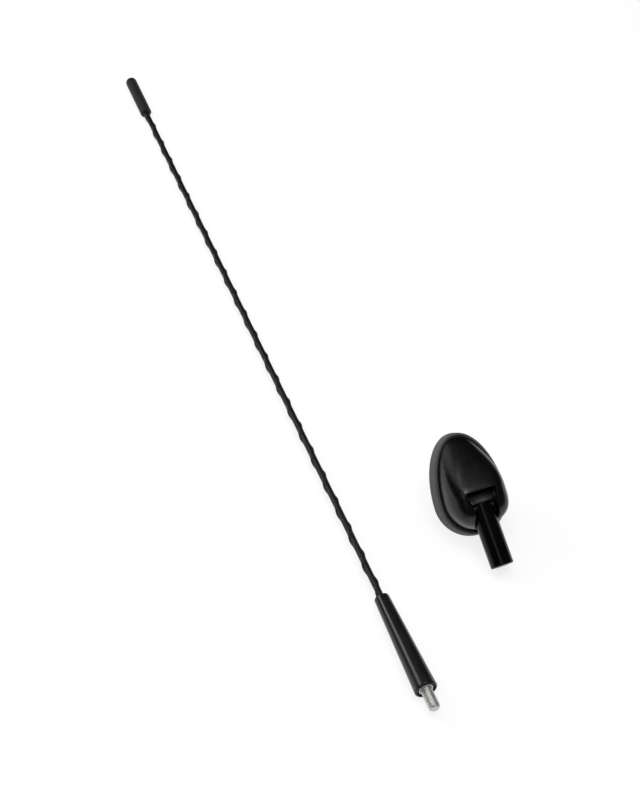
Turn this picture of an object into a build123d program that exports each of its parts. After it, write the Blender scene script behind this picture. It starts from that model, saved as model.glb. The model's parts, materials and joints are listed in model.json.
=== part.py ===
from build123d import *

import math
import os

# A car mast aerial: a ribbed whip mast, unscrewed, lying beside its roof foot.
# The foot lies tipped back on its rear edge and its roof nut, with the tilting neck folded down.
# Millimetres. The floor is z = 0, +X runs along the mast to its stud, +Z is up.

# Whip mast, measured along its own axis from the stud's end
mast_length = 550.0
thread_diameter = 6.0
stud_reach = 11.3
stud_chamfer = 0.8
ferrule_length = 60.2
ferrule_foot_diameter = 12.2
ferrule_top_diameter = 8.1
ferrule_rim_round = 1.0
ferrule_shoulder_round = 0.7
cup_depth = 1.8
cup_diameter = 9.6
collar_diameter = 7.8
collar_sink = 0.4
shank_diameter = 6.6
shank_length = 30.0
core_diameter = 2.0
core_grip = 14.0
core_tail = 4.0
sheath_diameter = 3.5
ferrule_web = 4.4
rib_height = 0.6
rib_foot_width = 2.6
rib_crest_width = 0.9
rib_pitch = 19.6
rib_angle_at_stud = 85.0
cap_length = 40.7
cap_diameter = 7.5
cap_grip = 30.0
cap_tip_round = 3.3
cap_mouth_round = 0.8

# Roof foot, seen from above: +X to the neck, origin where the egg is widest, z = 0 on the roof
pad_front = 36.9
pad_rear = 20.0
pad_half_width = 20.1
pad_height = 8.0
pad_flare = 0.8
pad_floor = 2.0
pad_wall = 0.9
rim_inset = 2.9
seat_groove = 0.8
seat_depth = 1.2
dome_top = 24.8
dome_wall = 1.7
crown_front = 3.6
crown_rear = 4.3
crown_half_width = 8.6
flank_power = 2.2
ramp_power = 1.2
crown_squareness = 2.0
slot_front = 3.5
slot_half_width = 8.3
slot_taper_end = 4.0

# Tilting neck
pivot_x = 2.0
pivot_z = 16.45
neck_diameter = 12.5
neck_length = 36.5
neck_fold_angle = 7.5
neck_slot_clearance = 0.6
neck_chamfer = 0.5
knuckle_flat = 5.4
knuckle_flat_lean = 12.0
socket_diameter = 8.0
socket_length = 18.0
thread_depth = 14.0
socket_tail_diameter = 4.0
pin_diameter = 3.0
pin_overhang = 1.0
disc_thickness = 0.5
disc_diameter = 9.0
flange_thickness = 0.4
flange_diameter = 8.0
bush_wall = 1.0

# Chassis and what it carries
plate_clearance = 0.2
plate_thickness = 3.0
lug_thickness = 2.6
lug_radius = 4.2
stem_diameter = 14.0
stem_reach = 9.5
stem_shank_diameter = 12.0
cable_bore_diameter = 8.5
screw_diameter = 2.1
screw_head_diameter = 3.6
screw_head_height = 1.4
screw_bite = 5.0
boss_diameter = 3.8
front_boss_x = 26.0
rear_boss_x = 8.4
rear_boss_y = 8.8
board_front = 21.0
board_rear = 7.0
board_half_width = 8.5
board_thickness = 1.6
board_lift = 3.6
board_post_diameter = 4.0
board_post_x = 14.0
board_post_y = 6.0
chip_size = 4.5
chip_height = 1.2
coil_size = 3.0
coil_height = 2.4
tag_thickness = 0.5
tag_ring_diameter = 6.0
tag_width = 2.4
wire_diameter = 1.0
wire_bend = 1.2
socket_shell_wall = 1.0
socket_shell_length = 10.0
insulator_length = 2.0
contact_diameter = 1.0
contact_reach = 6.0

# Roof fixing below the foot
nut_across_flats = 20.0
nut_thickness = 3.0
nut_underside = 7.8
washer_diameter = 21.0
washer_thickness = 1.0
claw_height = 0.7
claw_count = 6

# Where the foot lies beside the mast
foot_x = -111.8
foot_y = 66.3
foot_yaw = 1.5

# Clearances
slip = 0.05
running = 0.03

# Stations along the mast, from the stud's end at x = 0 back to the tip
ferrule_foot_x = -stud_reach
ferrule_top_x = ferrule_foot_x - ferrule_length
cup_x = ferrule_foot_x - cup_depth
shank_top_x = cup_x - shank_length
core_low_x = shank_top_x + core_grip
sheath_low_x = shank_top_x - ferrule_web
tip_x = -mast_length
cap_mouth_x = tip_x + cap_length
sheath_high_x = cap_mouth_x - cap_grip
core_high_x = sheath_high_x - core_tail
core_radius = core_diameter / 2
sheath_radius = sheath_diameter / 2
thread_radius = thread_diameter / 2

# Rubber tip cap, pushed over the end of the rod
with BuildPart() as tip_cap:
    with BuildSketch(Plane.XY):
        with BuildLine():
            Polyline(
                (tip_x, 0),
                (tip_x, cap_diameter / 2),
                (cap_mouth_x, cap_diameter / 2),
                (cap_mouth_x, sheath_radius + slip),
                (sheath_high_x, sheath_radius + slip),
                (sheath_high_x, core_radius + slip),
                (core_high_x, core_radius + slip),
                (core_high_x, 0),
                close=True,
            )
        make_face()
    revolve(axis=Axis.X)
    ends = tip_cap.edges().filter_by(GeomType.CIRCLE).sort_by(SortBy.RADIUS)[-2:].sort_by(Axis.X)
    fillet(ends[0], radius=cap_tip_round)
    fillet(ends[1], radius=cap_mouth_round)
tip_cap.part.label = "tip_cap"

# Spring-steel core, the radiator, crimped into the stud
with BuildPart() as core_rod:
    with BuildSketch(Plane.YZ.offset(core_high_x)):
        Circle(core_radius)
    extrude(amount=core_low_x - core_high_x)
core_rod.part.label = "core_rod"

# Black sheath with one spiral rib over its visible length
rib_length = ferrule_top_x - cap_mouth_x
rib_turns = rib_length / rib_pitch
rib_start_angle = rib_angle_at_stud + 360 * cap_mouth_x / rib_pitch
rib_shoulder_width = (rib_foot_width + rib_crest_width) / 2
rib_root = sheath_radius * 0.6
with BuildSketch(Plane.YZ.offset(cap_mouth_x)) as rib_section:
    with Locations(Rotation(0, 0, rib_start_angle)):
        Polygon(
            (rib_root, -rib_foot_width / 2),
            (sheath_radius * 0.9, -rib_foot_width / 2),
            (sheath_radius + rib_height * 0.65, -rib_shoulder_width / 2),
            (sheath_radius + rib_height, -rib_crest_width / 2),
            (sheath_radius + rib_height, rib_crest_width / 2),
            (sheath_radius + rib_height * 0.65, rib_shoulder_width / 2),
            (sheath_radius * 0.9, rib_foot_width / 2),
            (rib_root, rib_foot_width / 2),
            align=None,
        )
spiral_rib = Solid.extrude_linear_with_rotation(
    rib_section.sketch.face().outer_wire(),
    center=(cap_mouth_x, 0, 0),
    normal=(rib_length, 0, 0),
    angle=360 * rib_turns,
)
with BuildPart() as spiral_sheath:
    with BuildSketch(Plane.YZ.offset(sheath_high_x)):
        Circle(sheath_radius)
    extrude(amount=sheath_low_x - sheath_high_x)
    add(spiral_rib)
    with BuildSketch(Plane.YZ.offset(sheath_high_x)):
        Circle(core_radius + slip)
    extrude(amount=sheath_low_x - sheath_high_x, mode=Mode.SUBTRACT)
spiral_sheath.part.label = "spiral_sheath"

# Tapered ferrule moulded round the stud, with a shallow cup in its foot
with BuildPart() as ferrule:
    with BuildSketch(Plane.XY):
        with BuildLine():
            Polyline(
                (ferrule_top_x, sheath_radius + slip),
                (ferrule_top_x, ferrule_top_diameter / 2),
                (ferrule_foot_x, ferrule_foot_diameter / 2),
                (ferrule_foot_x, cup_diameter / 2),
                (cup_x, cup_diameter / 2),
                (cup_x, shank_diameter / 2),
                (shank_top_x, shank_diameter / 2),
                (shank_top_x, core_radius + slip),
                (sheath_low_x, core_radius + slip),
                (sheath_low_x, sheath_radius + slip),
                close=True,
            )
        make_face()
    revolve(axis=Axis.X)
    foot_rim = ferrule.edges().filter_by(GeomType.CIRCLE).sort_by(SortBy.RADIUS)[-1]
    fillet(foot_rim, radius=ferrule_rim_round)
    top_rim = ferrule.edges().filter_by(GeomType.CIRCLE).group_by(Axis.X)[0].sort_by(SortBy.RADIUS)[-1]
    fillet(top_rim, radius=ferrule_shoulder_round)
ferrule.part.label = "ferrule"

# Plated stud: thread, collar in the cup, and a shank that takes the core
with BuildPart() as mast_stud:
    with BuildSketch(Plane.XY):
        with BuildLine():
            Polyline(
                (0, 0),
                (0, thread_radius - stud_chamfer),
                (-stud_chamfer, thread_radius),
                (ferrule_foot_x - collar_sink, thread_radius),
                (ferrule_foot_x - collar_sink, collar_diameter / 2),
                (cup_x, collar_diameter / 2),
                (cup_x, shank_diameter / 2),
                (shank_top_x, shank_diameter / 2),
                (shank_top_x, core_radius),
                (core_low_x, core_radius),
                (core_low_x, 0),
                close=True,
            )
        make_face()
    revolve(axis=Axis.X)
mast_stud.part.label = "mast_stud"


def egg(level, inset):
    """An egg outline set in from the pad's edge, as a face at a level."""
    with BuildSketch(Plane.XY.offset(level)) as outline:
        with BuildLine():
            half_width = pad_half_width - inset
            EllipticalCenterArc((0, 0), pad_front - inset, half_width, 90, arc_size=180)
            EllipticalCenterArc((0, 0), pad_rear - inset, half_width, 270, arc_size=180)
        make_face()
    return outline.sketch.face()


# Levels of the foot, upwards from the roof
plate_top = pad_floor + plate_thickness
rim_level = pad_height - seat_depth
pocket_inset = rim_inset + dome_wall + slip + pad_wall
plate_inset = pocket_inset + plate_clearance
post_top = plate_top + board_lift
board_top = post_top + board_thickness

# Rubber pad: an egg with drafted sides, a seat for the dome's rim and a pocket for the chassis
pad_outlines = [egg(0, 0), egg(pad_height, pad_flare)]
seat_outer = egg(rim_level, rim_inset - seat_groove)
seat_inner = egg(rim_level, rim_inset + dome_wall + slip)
pocket = egg(pad_floor, pocket_inset)
with BuildPart() as seat_ring:
    extrude(seat_outer, amount=pad_height, dir=(0, 0, 1))
    extrude(seat_inner, amount=pad_height, dir=(0, 0, 1), mode=Mode.SUBTRACT)
with BuildPart() as gasket:
    loft(pad_outlines)
    add(seat_ring.part, mode=Mode.SUBTRACT)
    extrude(pocket, amount=pad_height, dir=(0, 0, 1), mode=Mode.SUBTRACT)
    with BuildSketch(Plane.XY):
        Circle(stem_diameter / 2 + slip)
    extrude(amount=pad_floor, mode=Mode.SUBTRACT)
gasket.part.label = "gasket"


def dome_outline(share, inset, top):
    """A level outline of the dome, at a share of its height, as a closed smooth face.

    The outline is an egg at the rim and a rounded box at the crown. Its front shrinks along a straight
    ramp, and its sides and rear along a full curve.
    """
    ramp = (1 - share**ramp_power) ** (1 / ramp_power)
    flank = (1 - share**flank_power) ** (1 / flank_power)
    front = crown_front + (pad_front - rim_inset - crown_front) * ramp - inset
    rear = crown_rear + (pad_rear - rim_inset - crown_rear) * flank - inset
    half_width = crown_half_width + (pad_half_width - rim_inset - crown_half_width) * flank - inset
    power = 2 / (2 + crown_squareness * share**2)
    points = []
    for step in range(24):
        turn = math.radians(15 * step)
        along = math.copysign(abs(math.cos(turn)) ** power, math.cos(turn))
        across = math.copysign(abs(math.sin(turn)) ** power, math.sin(turn))
        points.append((along * (rear if along > 0 else front), across * half_width))
    with BuildSketch(Plane.XY.offset(pad_height + share * (top - pad_height))) as outline:
        with BuildLine():
            Spline(*points, periodic=True)
        make_face()
    return outline.sketch.face()


# The slot in the dome: wide over the knuckle, then as wide as the neck, open to the rear
neck_radius = neck_diameter / 2
slot_neck_half_width = neck_radius + neck_slot_clearance
knuckle_half_length = slot_neck_half_width - slip
fold_angle = math.radians(neck_fold_angle)
neck_axis = Vector(math.cos(fold_angle), 0, math.sin(fold_angle))
pivot = Vector(pivot_x, 0, pivot_z)
neck_plane = Plane(origin=pivot, x_dir=(0, 1, 0), z_dir=neck_axis)
knuckle_plane = Plane(origin=pivot, x_dir=(1, 0, 0), z_dir=(0, -1, 0))
boss_places = [(-front_boss_x, 0), (rear_boss_x, rear_boss_y), (rear_boss_x, -rear_boss_y)]
dome_shares = (0, 0.25, 0.5, 0.72, 0.88, 1)
outer_outlines = [dome_outline(share, 0, dome_top) for share in dome_shares]
inner_outlines = [dome_outline(share, dome_wall, dome_top - dome_wall) for share in dome_shares]
with BuildPart() as cavity:
    loft(inner_outlines)
    extrude(inner_outlines[0], amount=seat_depth, dir=(0, 0, -1))
    with BuildSketch(Plane.XY.offset(rim_level)):
        with Locations(*boss_places):
            Circle(boss_diameter / 2)
    extrude(amount=dome_top, mode=Mode.SUBTRACT)
with BuildPart() as dome_cover:
    loft(outer_outlines)
    extrude(outer_outlines[0], amount=seat_depth, dir=(0, 0, -1))
    add(cavity.part, mode=Mode.SUBTRACT)
    with BuildSketch(Plane.XY.offset(pivot_z)):
        with BuildLine():
            Polyline(
                (-slot_front, -slot_half_width),
                (slot_taper_end, -slot_neck_half_width),
                (pad_rear, -slot_neck_half_width),
                (pad_rear, slot_neck_half_width),
                (slot_taper_end, slot_neck_half_width),
                (-slot_front, slot_half_width),
                close=True,
            )
        make_face()
    extrude(amount=dome_top, mode=Mode.SUBTRACT)
    with BuildSketch(neck_plane):
        Circle(slot_neck_half_width)
    extrude(amount=neck_length, mode=Mode.SUBTRACT)
    with BuildSketch(Plane.XY.offset(rim_level)):
        with Locations(*boss_places):
            Circle(screw_diameter / 2 + slip)
    extrude(amount=screw_bite, mode=Mode.SUBTRACT)
dome_cover.part.label = "dome_cover"

# Die-cast chassis: plate, screw pads, board posts and pivot lugs
disc_face_y = knuckle_half_length + slip
flange_face_y = disc_face_y + disc_thickness + slip
lug_face_y = flange_face_y + flange_thickness
lug_outer_y = lug_face_y + lug_thickness
pin_radius = pin_diameter / 2
bush_radius = pin_radius + bush_wall
post_places = [(-board_post_x, board_post_y), (-board_post_x, -board_post_y)]
plate_outline = egg(pad_floor, plate_inset)
with BuildPart() as chassis:
    extrude(plate_outline, amount=plate_thickness, dir=(0, 0, 1))
    with BuildSketch(Plane.XY.offset(plate_top)):
        with Locations(*boss_places):
            Circle(boss_diameter / 2)
    extrude(amount=rim_level - plate_top)
    with BuildSketch(Plane.XY.offset(plate_top)):
        with Locations(*post_places):
            Circle(board_post_diameter / 2)
    extrude(amount=board_lift)
    with BuildSketch(knuckle_plane.offset(lug_face_y), knuckle_plane.offset(-lug_outer_y)):
        Circle(lug_radius)
        with Locations((0, (plate_top - pivot_z) / 2)):
            Rectangle(2 * lug_radius, pivot_z - plate_top)
    extrude(amount=lug_thickness)
    with BuildSketch(Plane.XY.offset(pad_floor)):
        Circle(stem_shank_diameter / 2)
    extrude(amount=plate_thickness, mode=Mode.SUBTRACT)
    with BuildSketch(knuckle_plane.offset(-lug_outer_y)):
        Circle(bush_radius)
    extrude(amount=2 * lug_outer_y, mode=Mode.SUBTRACT)
    with BuildSketch(Plane.XY.offset(pad_floor)):
        with Locations(*boss_places):
            Circle(screw_diameter / 2 + slip)
    extrude(amount=rim_level - pad_floor, mode=Mode.SUBTRACT)
    with BuildSketch(Plane.XY.offset(pad_floor)):
        with Locations(*boss_places):
            Circle(screw_head_diameter / 2 + slip)
    extrude(amount=screw_head_height, mode=Mode.SUBTRACT)
    with BuildSketch(Plane.XY.offset(plate_top)):
        with Locations(*post_places):
            Circle(screw_diameter / 2 + slip)
    extrude(amount=board_lift, mode=Mode.SUBTRACT)
chassis.part.label = "chassis"

# Hollow threaded stem, pressed into the chassis plate and standing down through the roof
with BuildPart() as threaded_stem:
    with BuildSketch(Plane.XY.offset(-stem_reach)):
        Circle(stem_diameter / 2)
    extrude(amount=stem_reach + pad_floor)
    with BuildSketch(Plane.XY.offset(pad_floor)):
        Circle(stem_shank_diameter / 2)
    extrude(amount=plate_thickness)
    with BuildSketch(Plane.XY.offset(-stem_reach)):
        Circle(cable_bore_diameter / 2)
    extrude(amount=stem_reach + plate_top, mode=Mode.SUBTRACT)
threaded_stem.part.label = "threaded_stem"

# Screws up through the chassis into the dome's bosses
with BuildPart() as cover_screws:
    with BuildSketch(Plane.XY.offset(pad_floor)):
        with Locations(*boss_places):
            Circle(screw_head_diameter / 2)
    extrude(amount=screw_head_height)
    with BuildSketch(Plane.XY.offset(pad_floor)):
        with Locations(*boss_places):
            Circle(screw_diameter / 2)
    extrude(amount=rim_level - pad_floor + screw_bite - slip)
cover_screws.part.label = "cover_screws"

# Neck: a knuckle across the pivot and the round neck, bored for the pin and the threaded socket
socket_start = neck_length - socket_length
tail_start = pin_radius + running + slip
with BuildPart() as neck:
    with BuildSketch(neck_plane):
        Circle(neck_radius)
    extrude(amount=neck_length)
    chamfer(neck.edges().filter_by(GeomType.CIRCLE).sort_by(Axis.X)[-1], length=neck_chamfer)
    with BuildSketch(knuckle_plane.offset(-knuckle_half_length)):
        Circle(neck_radius)
    extrude(amount=2 * knuckle_half_length)
    with BuildSketch(knuckle_plane.offset(-knuckle_half_length)):
        with Locations(Rotation(0, 0, neck_fold_angle + knuckle_flat_lean)):
            with Locations((-neck_radius / 2, knuckle_flat + neck_radius / 2)):
                Rectangle(neck_radius * 1.6, neck_radius)
    extrude(amount=2 * knuckle_half_length, mode=Mode.SUBTRACT)
    with BuildSketch(knuckle_plane.offset(-knuckle_half_length)):
        Circle(pin_radius + running)
    extrude(amount=2 * knuckle_half_length, mode=Mode.SUBTRACT)
    with BuildSketch(neck_plane.offset(socket_start)):
        Circle(socket_diameter / 2)
    extrude(amount=socket_length, mode=Mode.SUBTRACT)
    with BuildSketch(neck_plane):
        Circle(socket_tail_diameter / 2 + slip)
    extrude(amount=socket_start, mode=Mode.SUBTRACT)
neck.part.label = "neck"

# Brass socket in the neck: the mast's thread at the mouth, and a tail that reaches the pin
with BuildPart() as neck_socket:
    with BuildSketch(neck_plane.offset(socket_start)):
        Circle(socket_diameter / 2)
    extrude(amount=socket_length)
    with BuildSketch(neck_plane.offset(tail_start)):
        Circle(socket_tail_diameter / 2)
    extrude(amount=socket_start - tail_start)
    with BuildSketch(neck_plane.offset(neck_length - thread_depth)):
        Circle(thread_radius)
    extrude(amount=thread_depth, mode=Mode.SUBTRACT)
neck_socket.part.label = "neck_socket"

# Pivot pin, its insulating bushes in the lugs, and the friction discs beside the knuckle
pin_half_length = lug_outer_y + tag_thickness + pin_overhang
with BuildPart() as pivot_pin:
    with BuildSketch(knuckle_plane.offset(-pin_half_length)):
        Circle(pin_radius)
    extrude(amount=2 * pin_half_length)
pivot_pin.part.label = "pivot_pin"

with BuildPart() as pivot_bushes:
    with BuildSketch(knuckle_plane.offset(flange_face_y), knuckle_plane.offset(-lug_face_y)):
        Circle(flange_diameter / 2)
    extrude(amount=flange_thickness)
    with BuildSketch(knuckle_plane.offset(lug_face_y), knuckle_plane.offset(-lug_outer_y)):
        Circle(bush_radius)
    extrude(amount=lug_thickness)
    with BuildSketch(knuckle_plane.offset(-lug_outer_y)):
        Circle(pin_radius)
    extrude(amount=2 * lug_outer_y, mode=Mode.SUBTRACT)
pivot_bushes.part.label = "pivot_bushes"

with BuildPart() as friction_discs:
    with BuildSketch(knuckle_plane.offset(disc_face_y), knuckle_plane.offset(-disc_face_y - disc_thickness)):
        Circle(disc_diameter / 2)
        Circle(pin_radius + running, mode=Mode.SUBTRACT)
    extrude(amount=disc_thickness)
friction_discs.part.label = "friction_discs"

# Amplifier board on its posts, with its parts and screws
with BuildPart() as amplifier_board:
    with BuildSketch(Plane.XY.offset(post_top)):
        with Locations((-(board_front + board_rear) / 2, 0)):
            RectangleRounded(board_front - board_rear, 2 * board_half_width, 1.5)
        with Locations(*post_places):
            Circle(screw_diameter / 2 + slip, mode=Mode.SUBTRACT)
    extrude(amount=board_thickness)
amplifier_board.part.label = "amplifier_board"

with BuildPart() as board_parts:
    with BuildSketch(Plane.XY.offset(board_top)):
        with Locations((-board_rear - chip_size, 0)):
            Rectangle(chip_size, chip_size)
    extrude(amount=chip_height)
    with BuildSketch(Plane.XY.offset(board_top)):
        with Locations((-board_front + coil_size, coil_size), (-board_front + coil_size, -coil_size)):
            RectangleRounded(coil_size, coil_size, 0.5)
    extrude(amount=coil_height)
board_parts.part.label = "board_parts"

with BuildPart() as board_screws:
    with BuildSketch(Plane.XY.offset(board_top)):
        with Locations(*post_places):
            Circle(screw_head_diameter / 2)
    extrude(amount=screw_head_height)
    with BuildSketch(Plane.XY.offset(board_top)):
        with Locations(*post_places):
            Circle(screw_diameter / 2)
    extrude(amount=-board_thickness - board_lift + slip)
board_screws.part.label = "board_screws"

# Brass tag from the pin's end to the board
tag_foot_x = -board_rear - tag_width / 2
tag_foot_half_width = tag_width / 2
with BuildPart() as pin_tag:
    with BuildSketch(knuckle_plane.offset(-lug_outer_y - tag_thickness)):
        Circle(tag_ring_diameter / 2)
        with BuildLine():
            Polyline(
                (0, tag_width / 2),
                (tag_foot_x - tag_foot_half_width - pivot_x, board_top + tag_width - pivot_z),
                (tag_foot_x - tag_foot_half_width - pivot_x, board_top - pivot_z),
                (tag_foot_x + tag_foot_half_width - pivot_x, board_top - pivot_z),
                (0, -tag_width / 2),
                close=True,
            )
        make_face()
        Circle(pin_radius, mode=Mode.SUBTRACT)
    extrude(amount=tag_thickness)
    with BuildSketch(Plane.XY.offset(board_top)):
        tag_foot_inner_y = board_half_width - tag_width
        with Locations((tag_foot_x, (tag_foot_inner_y + lug_outer_y + tag_thickness) / 2)):
            Rectangle(tag_width, lug_outer_y + tag_thickness - tag_foot_inner_y)
    extrude(amount=tag_thickness)
pin_tag.part.label = "pin_tag"

# Cable socket in the stem: shell, insulator and centre contact, mouth downwards
shell_radius = cable_bore_diameter / 2
shell_bottom = -stem_reach
insulator_bottom = shell_bottom + socket_shell_length - insulator_length
contact_top = insulator_bottom + insulator_length + wire_diameter
with BuildPart() as coax_shell:
    with BuildSketch(Plane.XY.offset(shell_bottom)):
        Circle(shell_radius)
        Circle(shell_radius - socket_shell_wall, mode=Mode.SUBTRACT)
    extrude(amount=socket_shell_length)
coax_shell.part.label = "coax_shell"

with BuildPart() as coax_insulator:
    with BuildSketch(Plane.XY.offset(insulator_bottom)):
        Circle(shell_radius - socket_shell_wall)
        Circle(contact_diameter / 2, mode=Mode.SUBTRACT)
    extrude(amount=insulator_length)
coax_insulator.part.label = "coax_insulator"

with BuildPart() as coax_pin:
    with BuildSketch(Plane.XY.offset(insulator_bottom - contact_reach)):
        Circle(contact_diameter / 2)
    extrude(amount=contact_top - insulator_bottom + contact_reach)
coax_pin.part.label = "coax_pin"

# Wire from the socket's contact to the underside of the board
wire_level = (plate_top + post_top) / 2
wire_board_x = -board_rear - tag_width
with BuildPart() as signal_wire:
    with BuildLine() as wire_route:
        FilletPolyline(
            (0, 0, contact_top),
            (0, 0, wire_level),
            (wire_board_x, 0, wire_level),
            (wire_board_x, 0, post_top),
            radius=wire_bend,
        )
    with BuildSketch(Plane.XY.offset(contact_top)):
        Circle(wire_diameter / 2)
    sweep(path=wire_route.wire())
signal_wire.part.label = "signal_wire"

# Roof nut and claw washer on the stem
with BuildPart() as roof_nut:
    with BuildSketch(Plane.XY.offset(-nut_underside)):
        RegularPolygon(nut_across_flats / 2, 6, major_radius=False, rotation=30)
        Circle(stem_diameter / 2 + slip, mode=Mode.SUBTRACT)
    extrude(amount=nut_thickness)
roof_nut.part.label = "roof_nut"

washer_top = nut_thickness + washer_thickness - nut_underside
with BuildPart() as claw_washer:
    with BuildSketch(Plane.XY.offset(washer_top)):
        Circle(washer_diameter / 2)
        Circle(stem_diameter / 2 + slip, mode=Mode.SUBTRACT)
    extrude(amount=-washer_thickness)
    with BuildSketch(Plane.XY.offset(washer_top)):
        with PolarLocations(washer_diameter / 2 - claw_height, claw_count):
            RegularPolygon(claw_height, 3)
    extrude(amount=claw_height, taper=20)
claw_washer.part.label = "claw_washer"

# The mast lies on its ferrule's rim and its tip cap
ferrule_contact_x = ferrule_foot_x - ferrule_rim_round
cap_contact_x = tip_x + cap_tip_round
drop = (ferrule_foot_diameter - cap_diameter) / 2
mast_lean = math.degrees(math.atan(drop / (ferrule_contact_x - cap_contact_x)))
mast_turn = Rot(0, -mast_lean, 0)
mast_low = min(piece.part.moved(mast_turn).bounding_box().min.Z for piece in (ferrule, tip_cap))
mast_place = Pos(0, 0, -mast_low) * mast_turn

# The foot lies on its rear edge and on the nut's rear flat
foot_tip = math.degrees(math.atan(nut_underside / (pad_rear - nut_across_flats / 2)))
foot_turn = Rot(0, 0, foot_yaw) * Rot(0, foot_tip, 0)
foot_low = min(piece.part.moved(foot_turn).bounding_box().min.Z for piece in (gasket, roof_nut))
foot_place = Pos(foot_x, foot_y, -foot_low) * foot_turn

mast_pieces = [tip_cap, core_rod, spiral_sheath, ferrule, mast_stud]
foot_pieces = [
    gasket,
    dome_cover,
    chassis,
    threaded_stem,
    cover_screws,
    neck,
    neck_socket,
    pivot_pin,
    pivot_bushes,
    friction_discs,
    amplifier_board,
    board_parts,
    board_screws,
    pin_tag,
    signal_wire,
    coax_shell,
    coax_insulator,
    coax_pin,
    roof_nut,
    claw_washer,
]
laid_out = [(piece.part.label, piece.part.moved(mast_place)) for piece in mast_pieces]
laid_out += [(piece.part.label, piece.part.moved(foot_place)) for piece in foot_pieces]

# The frame's origin is the middle of the whole outline, on the floor
boxes = [piece.bounding_box() for label, piece in laid_out]
middle_x = (min(box.min.X for box in boxes) + max(box.max.X for box in boxes)) / 2
middle_y = (min(box.min.Y for box in boxes) + max(box.max.Y for box in boxes)) / 2
centring = Pos(-middle_x, -middle_y, 0)

os.makedirs("parts", exist_ok=True)
for label, piece in laid_out:
    finished = piece.moved(centring)
    finished.label = label
    export_step(finished, f"parts/{label}.step")
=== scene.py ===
"""Studio scene of a car mast aerial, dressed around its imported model.

The mast lies unscrewed beside its roof foot. Each visible piece is rebuilt as a fine surface in the frame of
the mast, the foot or the neck, in millimetres, and is then carried into the row frame, in metres.
"""

from __future__ import annotations

import json
import logging
import math
from dataclasses import dataclass, field
from enum import Enum
from typing import Any, Callable, Sequence, Union

import bpy
import numpy as np
from mathutils import Matrix

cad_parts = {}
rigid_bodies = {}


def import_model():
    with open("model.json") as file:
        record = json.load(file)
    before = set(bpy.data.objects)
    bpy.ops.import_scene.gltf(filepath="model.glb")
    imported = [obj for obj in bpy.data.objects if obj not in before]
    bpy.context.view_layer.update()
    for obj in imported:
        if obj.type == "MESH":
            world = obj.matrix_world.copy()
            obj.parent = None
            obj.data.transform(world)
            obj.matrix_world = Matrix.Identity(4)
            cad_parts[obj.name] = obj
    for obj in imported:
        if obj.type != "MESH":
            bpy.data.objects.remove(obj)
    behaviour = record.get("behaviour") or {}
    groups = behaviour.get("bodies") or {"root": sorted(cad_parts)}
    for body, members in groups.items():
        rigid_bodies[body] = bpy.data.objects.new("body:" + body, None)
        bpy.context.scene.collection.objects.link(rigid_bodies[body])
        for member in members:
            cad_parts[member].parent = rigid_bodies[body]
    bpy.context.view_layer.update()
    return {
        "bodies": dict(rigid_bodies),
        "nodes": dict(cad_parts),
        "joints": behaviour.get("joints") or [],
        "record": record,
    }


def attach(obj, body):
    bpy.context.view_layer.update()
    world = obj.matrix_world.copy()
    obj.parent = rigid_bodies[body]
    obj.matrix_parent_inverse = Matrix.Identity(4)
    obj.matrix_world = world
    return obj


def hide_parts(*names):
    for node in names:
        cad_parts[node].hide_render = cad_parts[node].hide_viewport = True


LOG = logging.getLogger("aerial")
MM = 0.001
TURN = 2 * math.pi
ROOT_BODY = "aerial"
NECK_BODY = "tilting_neck"
VECTOR, VALUE = "NodeSocketVector", "NodeSocketFloat"

# Steps of a search by halving: enough to reach the last digits of a single-precision place.
HALVINGS = 24
# The flat point beside an arc lies this far along the straight, as a share of the arc's radius and at most of
# the straight itself.
LEAD_OF_RADIUS, LEAD_OF_STRAIGHT = 0.35, 0.3
# Shares of half a thread's pitch that the flat crest and the flank take up. The flat root has the rest.
CREST_SHARE, FLANK_SHARE = 0.12, 0.72

Pair = tuple[float, float]
Triple = tuple[float, float, float]
Tree = bpy.types.ShaderNodeTree
Node = bpy.types.Node
Socket = bpy.types.NodeSocket
Feed = Union[Socket, float, tuple[float, ...]]


def unit(vectors: Sequence[float] | np.ndarray) -> np.ndarray:
    """Returns one vector, or an array of them, scaled to length one."""
    array = np.asarray(vectors, float)
    return array / np.linalg.norm(array, axis=-1, keepdims=True)


def named(rows: Sequence[dict[str, Any]], name: str) -> dict[str, Any]:
    """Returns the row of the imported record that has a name."""
    return next(row for row in rows if row["name"] == name)


@dataclass(frozen=True)
class LocalFrame:
    """A frame of its own for a group of pieces: an origin in metres and three unit axes as rows."""

    origin: np.ndarray
    axes: np.ndarray

    def to_row(self, points: np.ndarray) -> np.ndarray:
        """Carries points from millimetres in this frame to metres in the row frame."""
        return self.origin + MM * (points @ self.axes)


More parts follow.
